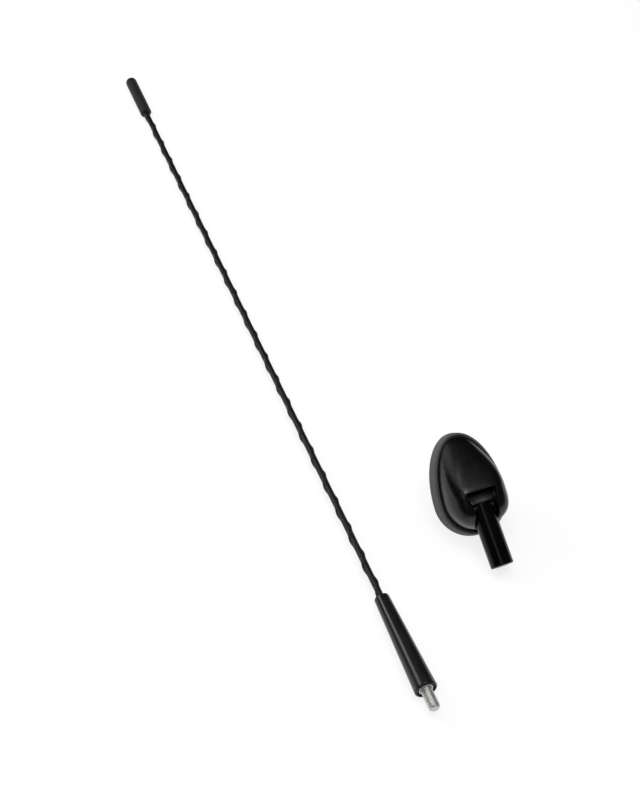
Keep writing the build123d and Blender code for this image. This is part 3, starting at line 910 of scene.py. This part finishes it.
@dataclass
class Foot(SubAssembly):
    """The roof foot: x to the neck, z up off the roof, origin where the egg is widest.

    Sizes are in millimetres and degrees. A hub is the radius of the last ring before a closed end's pole.
    """

    columns: int = 420
    pad_front: float = 36.9
    pad_rear: float = 20.0
    pad_half_width: float = 20.1
    pad_height: float = 8.0
    pad_flare: float = 0.8
    pad_floor: float = 2.0
    pad_foot_round: float = 0.45
    pad_lip_round: float = 0.55
    pocket_wall: float = 0.9
    pocket_lip_round: float = 0.2
    pocket_floor_round: float = 0.3
    floor_inset: float = 10.0
    hole_inset: float = 20.0
    sealing_insets: Pair = (10.0, 4.6)
    sealing_width: float = 1.8
    sealing_depth: float = 0.5
    sealing_slope: float = 0.4
    sealing_round: float = 0.2
    rim_inset: float = 2.9
    seat_depth: float = 1.2
    seat_slip: float = 0.05
    seat_lip_round: float = 0.18
    seat_outer_round: float = 0.15
    seat_inner_round: float = 0.1
    groove: float = 0.8
    dome_top: float = 24.8
    dome_wall: float = 1.7
    crown_front: float = 3.6
    crown_rear: float = 4.3
    crown_half_width: float = 8.6
    flank_power: float = 2.2
    ramp_power: float = 1.2
    squareness: float = 2.0
    corner_crowding: float = 0.22
    skin_rows: int = 84
    lining_rows: int = 40
    skirt_lead: float = 0.2
    slot_front: float = 3.5
    slot_half_width: float = 8.3
    slot_taper_end: float = 4.0
    slot_edge_round: float = 0.55
    slot_scan_rows: int = 500
    bead_rows: int = 8
    cheek_rows: int = 4
    cheek_lead: float = 0.15
    pivot: Triple = (2.0, 0.0, 16.45)
    neck_radius: float = 6.25
    neck_clearance: float = 0.6
    neck_length: float = 36.5
    neck_fold: float = 7.5
    neck_chamfer: float = 0.5
    neck_shoulder: float = 1.9
    neck_shoulder_round: float = 0.2
    neck_chamfer_round: float = 0.25
    neck_columns: int = 96
    mouth_radius: float = 3.45
    mouth_lip: float = 0.14
    mouth_round: float = 0.06
    knuckle_half_length: float = 6.8
    knuckle_end_round: float = 0.45
    knuckle_flat: float = 5.4
    knuckle_flat_lean: float = 12.0
    knuckle_flat_cosine: float = 0.5
    knuckle_crown: float = 0.25
    knuckle_hub: float = 1.6
    knuckle_columns: int = 128
    socket_radius: float = 4.0
    socket_length: float = 18.0
    socket_recess: float = 0.15
    socket_rim_round: float = 0.15
    socket_hub: float = 0.4
    socket_columns: int = 72
    tail_start: float = 1.6
    tail_radius: float = 2.0
    tail_round: float = 0.2
    tail_bore: float = 2.1
    thread_radius: float = 3.0
    thread_reach: float = 14.0
    thread_pitch: float = 1.0
    thread_ridge: float = 0.5
    thread_rows: int = 130
    thread_mouth: float = 0.45
    thread_mouth_flare: float = 0.35
    thread_foot: float = 0.3
    drill_step: float = 0.4
    drill_point: float = 0.6
    stem_radius: float = 7.0
    stem_reach: float = 9.5
    stem_pitch: float = 1.0
    stem_thread_depth: float = 0.5
    stem_thread_top: float = -0.3
    stem_runout: float = 0.8
    stem_rows: int = 110
    stem_columns: int = 108
    stem_bevel: float = 0.7
    stem_land: float = -0.1
    stem_land_round: float = 0.15
    stem_end_round: float = 0.1
    stem_top_round: float = 0.2
    stem_slip: float = 0.05
    stem_shank_radius: float = 6.0
    cable_bore: float = 4.25
    cable_bore_rounds: Pair = (0.2, 0.1)
    plate_top: float = 5.0
    nut_flats: float = 20.0
    nut_thickness: float = 3.0
    nut_underside: float = 7.8
    nut_corner_cut: float = 0.25
    nut_face_inset: float = 0.15
    nut_face_slope: float = 1.6
    nut_bore_bevel: Pair = (0.4, 0.5)
    nut_rows: int = 17
    nut_columns: int = 144

    def place(self) -> LocalFrame:
        """Works out the foot's frame from its roof mount and the neck's joint.

        Returns:
            The frame.
        """
        origin, down, _ = self.shop.mount("roof_stem")
        side = -unit(named(self.shop.frame["joints"], "neck_tilt")["axis"])
        return LocalFrame(origin, np.array([np.cross(side, -down), side, -down]))

    def neck_place(self, foot: LocalFrame) -> LocalFrame:
        """Works out the folded neck's frame: x along the neck from the pivot, y along the pin.

        Args:
            foot: the foot's frame.

        Returns:
            The neck's frame.
        """
        fold = math.radians(self.neck_fold)
        along = math.cos(fold) * foot.axes[0] + math.sin(fold) * foot.axes[2]
        origin = foot.to_row(np.array(self.pivot))
        return LocalFrame(origin, np.array([along, foot.axes[1], np.cross(along, foot.axes[1])]))

    def build(self) -> None:
        """Makes the seven pieces of the foot that need a finer surface than their solids have."""
        foot = self.place()
        neck = self.neck_place(foot)
        self.fittings = [
            Fitting(self.gasket(foot), "gasket"),
            Fitting(self.dome(foot), "dome_cover"),
            Fitting(self.neck_tube(neck), "neck", NECK_BODY),
            Fitting(self.knuckle(neck), "neck", NECK_BODY),
            Fitting(self.socket(neck), "neck_socket", NECK_BODY),
            Fitting(self.stem(foot), "threaded_stem"),
            Fitting(self.nut(foot), "roof_nut"),
        ]

    def egg(self, turn: np.ndarray, inset: np.ndarray) -> np.ndarray:
        """Plan of the egg set in from the pad's edge: two half ellipses that share their width."""
        length = np.where(np.cos(turn) > 0, self.pad_rear, self.pad_front)
        return np.stack([(length - inset) * np.cos(turn), (self.pad_half_width - inset) * np.sin(turn)], -1)

    def gasket(self, foot: LocalFrame) -> bpy.types.Object:
        """Carries the rubber pad's section round the egg, and draws the floor in to the round stem hole.

        The section is a loop of inset and height: an underside with two shallow sealing grooves, the drafted
        side, the lip, the groove that the dome's rim stands in, the pocket and the floor.

        Args:
            foot: the foot's frame.

        Returns:
            The pad.
        """
        seat = self.pad_height - self.seat_depth
        seat_outer = self.rim_inset - self.groove
        seat_inner = self.rim_inset + self.dome_wall + self.seat_slip
        pocket = seat_inner + self.pocket_wall
        slope, width, depth = self.sealing_slope, self.sealing_width, self.sealing_depth
        across = ((0.0, 0.0), (slope, depth), (width - slope, depth), (width, 0.0))
        sealing = [
            (inset - run, height, self.sealing_round)
            for inset in self.sealing_insets
            for run, height in across
        ]
        section = rounded_profile(
            [
                (self.hole_inset, 0.0, 0),
                *sealing,
                (0.0, 0.0, self.pad_foot_round),
                (self.pad_flare, self.pad_height, self.pad_lip_round),
                (seat_outer, self.pad_height, self.seat_lip_round),
                (seat_outer, seat, self.seat_outer_round),
                (seat_inner, seat, self.seat_inner_round),
                (seat_inner, self.pad_height, self.pocket_lip_round),
                (pocket, self.pad_height, self.pocket_lip_round),
                (pocket, self.pad_floor, self.pocket_floor_round),
                (self.hole_inset, self.pad_floor, 0),
            ],
            closed=True,
            arc_steps=5,
        )
        turn = even_turn(self.columns)
        inset, height = section[:, :1], section[:, 1:]
        plan = self.egg(turn, np.minimum(inset, self.floor_inset))
        hole = (self.stem_radius + self.stem_slip) * np.stack([np.cos(turn), np.sin(turn)], -1)
        inward = (inset - self.floor_inset) / (self.hole_inset - self.floor_inset)
        inward = np.clip(inward, 0, 1)[..., None]
        plan = plan * (1 - inward) + hole * inward
        points = np.concatenate([plan, np.broadcast_to(height[..., None], (*plan.shape[:2], 1))], -1)
        return lay_surface("pad_rubber_foot", foot.to_row(points), wrap_rows=True)

    def dome_point(self, climb: np.ndarray, turn: np.ndarray, inset: float) -> np.ndarray:
        """A point of the dome's skin.

        Up to a climb of one the point goes up the flank: a level outline that is an egg at the rim and a
        rounded box at the crown, with straight-sided shrinking in front and full curves at the sides and
        rear. From one to two it crosses the flat crown towards its middle.

        Args:
            climb: zero at the rim, one at the crown's edge, two at the crown's middle.
            turn: angle of the outline.
            inset: zero for the outer skin, the wall for the inner one.

        Returns:
            The points.
        """
        arch = np.clip(climb, 0, 1) * math.pi / 2
        share = np.sin(arch) ** (2 / self.flank_power)
        flank = np.cos(arch) ** (2 / self.flank_power)
        ramp = np.maximum(1 - share**self.ramp_power, 0) ** (1 / self.ramp_power)
        front = self.crown_front + (self.pad_front - self.rim_inset - self.crown_front) * ramp - inset
        rear = self.crown_rear + (self.pad_rear - self.rim_inset - self.crown_rear) * flank - inset
        crown = self.crown_half_width
        half = crown + (self.pad_half_width - self.rim_inset - crown) * flank - inset
        power = 2 / (2 + self.squareness * share**2)
        cos, sin = np.cos(turn), np.sin(turn)
        across = np.clip(2 - climb, 0, 1)
        x = np.sign(cos) * np.abs(cos) ** power * np.where(cos > 0, rear, front) * across
        y = np.sign(sin) * np.abs(sin) ** power * half * across
        z = self.pad_height + share * (self.dome_top - inset - self.pad_height)
        return np.stack(np.broadcast_arrays(x, y, z), -1)

    def slot_gap(self, points: np.ndarray) -> np.ndarray:
        """Tells whether points lie in the dome's slot: its plan above the pivot, or the round of the neck.

        The plan narrows evenly from the slot's front to the neck's width. The round is a cylinder about the
        folded neck's line.

        Args:
            points: places in the foot's frame.

        Returns:
            True for each point in the slot.
        """
        x, y, z = (points[..., k] for k in range(3))
        neck_half = self.neck_radius + self.neck_clearance
        half = np.interp(x, (-self.slot_front, self.slot_taper_end), (self.slot_half_width, neck_half))
        in_plan = (x > -self.slot_front) & (np.abs(y) < half) & (z > self.pivot[2])
        fold = math.radians(self.neck_fold)
        dx, dz = x - self.pivot[0], z - self.pivot[2]
        along = dx * math.cos(fold) + dz * math.sin(fold)
        off = -dx * math.sin(fold) + dz * math.cos(fold)
        return in_plan | ((along > 0) & (np.hypot(y, off) < neck_half))

    def slot_edge(self, turn: np.ndarray, inset: float) -> np.ndarray:
        """Finds where each column of the dome's skin first meets the slot, by a scan and then by halving.

        Args:
            turn: the columns' angles.
            inset: zero for the outer skin, the wall for the inner one.

        Returns:
            The climb of each column at the slot.
        """

        def in_slot(climb: np.ndarray) -> np.ndarray:
            """Tells whether the skin lies in the slot at a climb."""
            return self.slot_gap(self.dome_point(climb, turn, inset))

        scan = np.linspace(0, 2, self.slot_scan_rows)[:, None]
        first = np.argmax(in_slot(scan), axis=0)
        return halve(scan[np.maximum(first - 1, 0), 0], scan[first, 0], in_slot)

    def dome(self, foot: LocalFrame) -> bpy.types.Object:
        """Makes the dome's shell as one closed loop of rows from rim to slot and back on the inside.

        The outer rows climb to just short of the slot's edge. A quarter round leads over the edge, the slot's
        wall goes straight to the inner skin's own edge, and the inner rows go down to the rim, which stands
        in the pad's groove. A sine of four times the angle shifts the columns about the crown's corners.

        Args:
            foot: the foot's frame.

        Returns:
            The dome.
        """
        even = even_turn(self.columns)[0]
        turn = even - self.corner_crowding * np.sin(4 * even) / 4
        outer_edge, inner_edge = self.slot_edge(turn, 0.0), self.slot_edge(turn, self.dome_wall)
        edge = self.dome_point(outer_edge, turn, 0.0)
        inner = self.dome_point(inner_edge, turn, self.dome_wall)
        radius = self.slot_edge_round

        def in_round(climb: np.ndarray) -> np.ndarray:
            """Tells whether the skin lies within the edge's round at a climb."""
            return np.linalg.norm(self.dome_point(climb, turn, 0.0) - edge, axis=-1) < radius

        climb = halve(np.zeros_like(outer_edge), outer_edge, in_round)
        into = unit(edge - self.dome_point(climb, turn, 0.0))
        wall = unit(inner - edge)
        up = np.linspace(0, 1, self.skin_rows)[:, None]
        skin = self.dome_point(up * climb, turn, 0.0)
        swing = np.linspace(0, math.pi / 2, self.bead_rows)[1:, None, None]
        bead = edge - radius * (1 - np.sin(swing)) * into + radius * (1 - np.cos(swing)) * wall
        inwards = np.linspace(self.cheek_lead, 1, self.cheek_rows)[:, None, None]
        cheek = (edge + radius * wall) * (1 - inwards) + inner * inwards
        down = np.linspace(1, 0, self.lining_rows)[1:, None]
        lining = self.dome_point(down * inner_edge, turn, self.dome_wall)
        drop = np.array([0, 0, -self.seat_depth])
        inside, outside = lining[-1], skin[0]
        skirt = np.stack([inside, (inside + outside) / 2, outside]) + drop
        points = np.concatenate([skin, bead, cheek, lining, skirt, (outside + self.skirt_lead * drop)[None]])
        return lay_surface("dome_shell", foot.to_row(points), wrap_rows=True)

    def neck_tube(self, neck: LocalFrame) -> bpy.types.Object:
        """Turns the neck's tube, with a chamfered end and the bore that holds the socket.

        Args:
            neck: the neck's frame.

        Returns:
            The tube.
        """
        end, bevel = self.neck_length, self.neck_chamfer
        start = end - self.socket_length
        profile = rounded_profile(
            [
                (self.neck_shoulder, self.tail_bore, 0),
                (self.neck_shoulder, self.neck_radius, self.neck_shoulder_round),
                (end - bevel, self.neck_radius, self.neck_chamfer_round),
                (end, self.neck_radius - bevel, self.neck_chamfer_round),
                (end, self.mouth_radius, self.mouth_round),
                (end - self.mouth_lip, self.mouth_radius, 0),
                (end - self.mouth_lip, self.socket_radius, 0),
                (start, self.socket_radius, 0),
                (start, self.tail_bore, 0),
            ],
            closed=True,
        )
        return lay_surface("neck_tube", neck.to_row(turned(profile, self.neck_columns)), wrap_rows=True)

    def knuckle(self, neck: LocalFrame) -> bpy.types.Object:
        """Makes the knuckle: a short round bar along the pin with one flat, and soft ends.

        The flat is the lesser of the round and of the flat's distance over the cosine of the angle from it.
        The distance falls off from the flat's middle by the square of the way to its ends and sides, as a low
        crown.

        Args:
            neck: the neck's frame.

        Returns:
            The knuckle.
        """
        half, round_radius = self.knuckle_half_length, self.neck_radius
        profile = rounded_profile(
            [
                (-half, self.knuckle_hub, 0),
                (-half, round_radius, self.knuckle_end_round),
                (half, round_radius, self.knuckle_end_round),
                (half, self.knuckle_hub, 0),
            ],
            arc_steps=6,
        )
        along, angle = profile[:, :1], even_turn(self.knuckle_columns)
        facing = math.radians(90 + self.knuckle_flat_lean)
        cosine = np.cos(angle - facing)
        held = np.maximum(cosine, self.knuckle_flat_cosine)
        aside = np.sin(angle - facing) / held
        crown = self.knuckle_crown * (1 - (along / half) ** 2 - aside**2)
        flat = np.where(cosine > self.knuckle_flat_cosine, (self.knuckle_flat + crown) / held, round_radius)
        radius = profile[:, 1:] * (np.minimum(flat, round_radius) / round_radius)
        about_pin = about_x(along, radius, angle)[..., [1, 0, 2]]
        return lay_surface("neck_knuckle", neck.to_row(about_pin), poles=True)

    def socket(self, neck: LocalFrame) -> bpy.types.Object:
        """Turns the brass socket, with the mast's thread cut in its mouth and a tail towards the pin.

        In the hole the thread's ridges stand in from the plain radius.

        Args:
            neck: the neck's frame.

        Returns:
            The socket.
        """
        end = self.neck_length - self.socket_recess
        start = self.neck_length - self.socket_length
        floor = self.neck_length - self.thread_reach
        outside = rounded_profile(
            [
                (self.tail_start, self.socket_hub, 0),
                (self.tail_start, self.tail_radius, self.tail_round),
                (start, self.tail_radius, 0),
                (start, self.socket_radius, 0),
                (end, self.socket_radius, self.socket_rim_round),
                (end, self.thread_radius + self.thread_mouth_flare, 0),
            ]
        )
        hole = straight_rows(
            end - self.thread_mouth, floor + self.thread_foot, self.thread_rows, self.thread_radius
        )
        drilled = [(floor, self.thread_radius - self.drill_step), (floor - self.drill_point, self.socket_hub)]
        profile = np.vstack([outside, hole, drilled])
        along, angle = profile[:, :1], even_turn(self.socket_columns)
        in_hole = np.repeat([0, 1, 0], [len(outside), len(hole), len(drilled)])[:, None]
        ridge = self.thread_ridge - thread_cut(along, angle, self.thread_pitch, self.thread_ridge)
        radius = profile[:, 1:] - in_hole * ridge
        return lay_surface("socket_brass", neck.to_row(about_x(along, radius, angle)), poles=True)

    def stem(self, foot: LocalFrame) -> bpy.types.Object:
        """Turns the hollow stem about the roof's normal, with its thread below the pad.

        The thread is taken off the radius, and it runs out towards the pad.

        Args:
            foot: the foot's frame.

        Returns:
            The stem.
        """
        low, top = -self.stem_reach, self.stem_thread_top
        thread = straight_rows(top, low + self.stem_bevel, self.stem_rows, self.stem_radius)
        rest = rounded_profile(
            [
                (low, self.stem_radius - self.stem_bevel, self.stem_end_round),
                (low, self.cable_bore, self.cable_bore_rounds[0]),
                (self.plate_top, self.cable_bore, self.cable_bore_rounds[1]),
                (self.plate_top, self.stem_shank_radius, self.stem_top_round),
                (self.pad_floor, self.stem_shank_radius, 0),
                (self.pad_floor, self.stem_radius, self.stem_land_round),
                (self.stem_land, self.stem_radius, 0),
            ]
        )
        profile = np.vstack([thread, rest])
        height, angle = profile[:, :1], even_turn(self.stem_columns)
        runout = np.clip((top - thread[:, :1]) / self.stem_runout, 0, 1)
        runout = np.vstack([runout, np.zeros((len(rest), 1))])
        radius = profile[:, 1:] - runout * thread_cut(height, angle, self.stem_pitch, self.stem_thread_depth)
        return lay_surface("stem_threaded", foot.to_row(about_z(height, radius, angle)), wrap_rows=True)

    def nut(self, foot: LocalFrame) -> bpy.types.Object:
        """Makes the roof nut: a hexagon whose corners are turned back by a cone at both faces.

        Around the axis the hexagon's radius is the flat's distance over the cosine of the angle from the
        nearest flat. Near a face it is held to a cone. The bore has the same bevel at both ends.

        Args:
            foot: the foot's frame.

        Returns:
            The nut.
        """
        low, high = -self.nut_underside, self.nut_thickness - self.nut_underside
        flat, half_side = self.nut_flats / 2, math.pi / 6
        angle = even_turn(self.nut_columns)
        apart = (angle + half_side) % (2 * half_side) - half_side
        hexagon = np.minimum(flat / np.cos(apart), flat / math.cos(half_side) - self.nut_corner_cut)
        rise = self.nut_thickness * (1 - np.cos(np.linspace(0, math.pi, self.nut_rows))) / 2
        depth = np.minimum(rise, self.nut_thickness - rise)[:, None]
        outer = np.minimum(hexagon, flat - self.nut_face_inset + depth * self.nut_face_slope)
        sunk, wide = self.nut_bore_bevel
        bore = np.array([(high, self.stem_radius + wide), (high - sunk, self.stem_radius + self.stem_slip)])
        bore = np.vstack([bore, bore[::-1] * [-1, 1] + [low + high, 0]])
        radius = np.vstack([outer, np.broadcast_to(bore[:, 1:], (len(bore), angle.size))])
        height = np.concatenate([low + rise, bore[:, 0]])[:, None]
        return lay_surface("nut_hexagon", foot.to_row(about_z(height, radius, angle)), wrap_rows=True)


class Reach(Enum):
    """Which pieces a lamp lights: all but the named ones, as if black cards shaded them, or those alone."""

    ALL_BUT = "EXCLUDE"
    ONLY = "INCLUDE"


@dataclass(frozen=True)
class Softbox:
    """One rectangular lamp: its place and target, the way its length runs, its sides and its radiance."""

    name: str
    place: Triple
    target: Triple
    along: Triple
    size: Pair
    radiance: float
    mirrored: bool = True
    reach: Reach = Reach.ALL_BUT
    pieces: tuple[str, ...] = ()


# Places in the row frame that the lamps are turned to or lie along.
FOOT_MIDDLE: Triple = (0.18, 0.03, 0.02)
ALONG_X: Triple = (1.0, 0.0, 0.0)


@dataclass
class Studio:
    """The floor, the surrounding light, the lamps and the camera, in metres."""

    camera_place: Triple = (0.667993, -0.245166, 0.701154)
    camera_right: Triple = (0.3458, 0.9386, 0.0)
    camera_up: Triple = (-0.6847, 0.2528, 0.6830)
    lens: float = 75.3
    sensor: float = 36.0
    clip: Pair = (0.01, 200.0)
    world_level: float = 0.02
    floor_size: float = 60.0
    floor_level: float = -0.00002
    floor_white: float = 0.95
    floor_rough: float = 0.9
    floor_lift: float = 0.82
    softboxes: tuple[Softbox, ...] = (
        Softbox(
            "overhead_fill", (0.0, 0.0, 1.6), (0.0, 0.0, 0.0), ALONG_X, (2.2, 2.2), 1.7,
            mirrored=False,
        ),
        Softbox(
            "overhead_metal", (0.5, -0.1, 1.5), (0.5, -0.1, 0.0), ALONG_X, (3.0, 2.2), 0.9,
            reach=Reach.ONLY, pieces=("stud_threaded", "nut_hexagon", "stem_threaded", "claw_washer"),
        ),
        Softbox(
            "top_strip", (0.06, 0.00, 1.22), (0.06, 0.00, 0.0), (0.90, 0.43, 0.0), (0.70, 0.22), 2.8,
            pieces=("dome_shell",),
        ),
        Softbox("top_back", (-0.05, 0.03, 1.20), FOOT_MIDDLE, ALONG_X, (0.25, 0.25), 3.4),
        Softbox("top_corner", (0.337, 0.187, 1.22), FOOT_MIDDLE, ALONG_X, (0.08, 0.08), 60.0),
        Softbox(
            "back_panel", (-0.90, -0.72, 1.046), (0.165, 0.027, 0.03), (0.574, -0.819, 0.0), (0.55, 2.3), 1.1,
            pieces=("ferrule_moulding", "sheath_spiral", "cap_soft"),
        ),
        Softbox(
            "left_strip", (-0.70, -0.94, 0.91), (0.20, 0.0, 0.01), (-0.50, 0.52, 0.18), (0.78, 0.30), 7.5,
            pieces=("dome_shell", "neck_tube", "neck_knuckle"),
        ),
        Softbox(
            "slot_box", (0.265, 0.430, 1.22), FOOT_MIDDLE, ALONG_X, (0.08, 0.08), 9.0,
            pieces=("dome_shell", "pad_rubber_foot", "neck_tube"),
        ),
        Softbox("front_box", (0.66, -0.30, 1.10), (0.24, -0.01, 0.01), (0.8, 0.0, -0.5), (0.60, 0.40), 0.9),
    )

    def build(self) -> None:
        """Sets up the view, the floor, the light and the camera."""
        bpy.context.scene.view_settings.view_transform = "Standard"
        self.lay_floor()
        self.light_world()
        for box in self.softboxes:
            self.hang(box)
        self.stand_camera()

    def lay_floor(self) -> None:
        """Lays a wide white floor just under the object."""
        half, level = self.floor_size / 2, self.floor_level
        mesh = bpy.data.meshes.new("floor")
        spots = [(-half, -half, level), (half, -half, level), (half, half, level), (-half, half, level)]
        mesh.from_pydata(spots, [], [(0, 1, 2, 3)])
        mesh.materials.append(self.floor_finish())
        floor = bpy.data.objects.new("floor", mesh)
        bpy.context.scene.collection.objects.link(floor)

    def floor_finish(self) -> bpy.types.Material:
        """Makes the floor's white: matt, and mostly lifted to plain white where it is seen or mirrored.

        Returns:
            The floor's material.
        """
        material = bpy.data.materials.new("floor_white")
        material.use_nodes = True
        material.cycles.emission_sampling = "NONE"
        tree = material.node_tree
        shader = tree.nodes["Principled BSDF"]
        shader.inputs["Base Color"].default_value = (*[self.floor_white] * 3, 1.0)
        shader.inputs["Roughness"].default_value = self.floor_rough
        shader.inputs["Specular IOR Level"].default_value = 0.0
        path = tree.nodes.new("ShaderNodeLightPath").outputs
        seen = path["Is Camera Ray"]
        for ray in ("Is Glossy Ray", "Is Transmission Ray"):
            seen = add_math(tree, "MAXIMUM", seen, path[ray])
        share = add_math(tree, "MULTIPLY", seen, self.floor_lift)
        white = tree.nodes.new("ShaderNodeEmission").outputs[0]
        mixed = add_node(tree, "ShaderNodeMixShader", {"Fac": share, 1: shader.outputs[0], 2: white})
        tree.links.new(mixed.outputs[0], tree.nodes["Material Output"].inputs["Surface"])
        return material

    def light_world(self) -> None:
        """Surrounds the scene with an even dim light, as in a darkened studio."""
        world = bpy.data.worlds.new("studio")
        world.use_nodes = True
        bpy.context.scene.world = world
        background = world.node_tree.nodes["Background"]
        background.inputs["Color"].default_value = (*[self.world_level] * 3, 1.0)

    @staticmethod
    def hang(box: Softbox) -> None:
        """Hangs one lamp, turns it to its target and links it to the pieces that it names.

        The lamp's power is its radiance by pi and by its area.

        Args:
            box: the lamp's place, size and light.
        """
        light = bpy.data.lights.new(box.name, "AREA")
        light.shape = "RECTANGLE"
        light.size, light.size_y = box.size
        light.energy = box.radiance * math.pi * box.size[0] * box.size[1]
        lamp = bpy.data.objects.new(box.name, light)
        back = unit(np.subtract(box.place, box.target))
        side = unit(np.array(box.along) - back * np.dot(back, box.along))
        lamp.matrix_world = standing(box.place, side, np.cross(back, side))
        lamp.visible_glossy = box.mirrored
        bpy.context.scene.collection.objects.link(lamp)
        if box.pieces:
            linked = bpy.data.collections.new(box.name + "_pieces")
            for name in box.pieces:
                linked.objects.link(bpy.data.objects[name])
            for entry in linked.collection_objects:
                entry.light_linking.link_state = box.reach.value
            lamp.light_linking.receiver_collection = linked

    def stand_camera(self) -> None:
        """Stands the camera where the photograph was taken from."""
        view = bpy.data.cameras.new("camera")
        view.lens = self.lens
        view.sensor_width = self.sensor
        view.clip_start, view.clip_end = self.clip
        camera = bpy.data.objects.new("camera", view)
        right = unit(self.camera_right)
        up = unit(np.array(self.camera_up) - right * (right @ np.array(self.camera_up)))
        camera.matrix_world = standing(self.camera_place, right, up)
        bpy.context.scene.collection.objects.link(camera)
        bpy.context.scene.camera = camera


def main() -> None:
    """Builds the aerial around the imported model, dresses it and sets up the studio."""
    logging.basicConfig(level=logging.INFO, format="%(name)s: %(message)s")
    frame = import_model()
    finishes = FinishShop()
    finishes.prepare()
    shop = Workshop(frame, finishes)
    shop.dress_nodes()
    for assembly in (Mast(shop), Foot(shop)):
        assembly.build()
        assembly.dress()
        LOG.info("%s: %d pieces made", type(assembly).__name__.lower(), len(assembly.fittings))
    Studio().build()


if __name__ == "__main__":
    main()
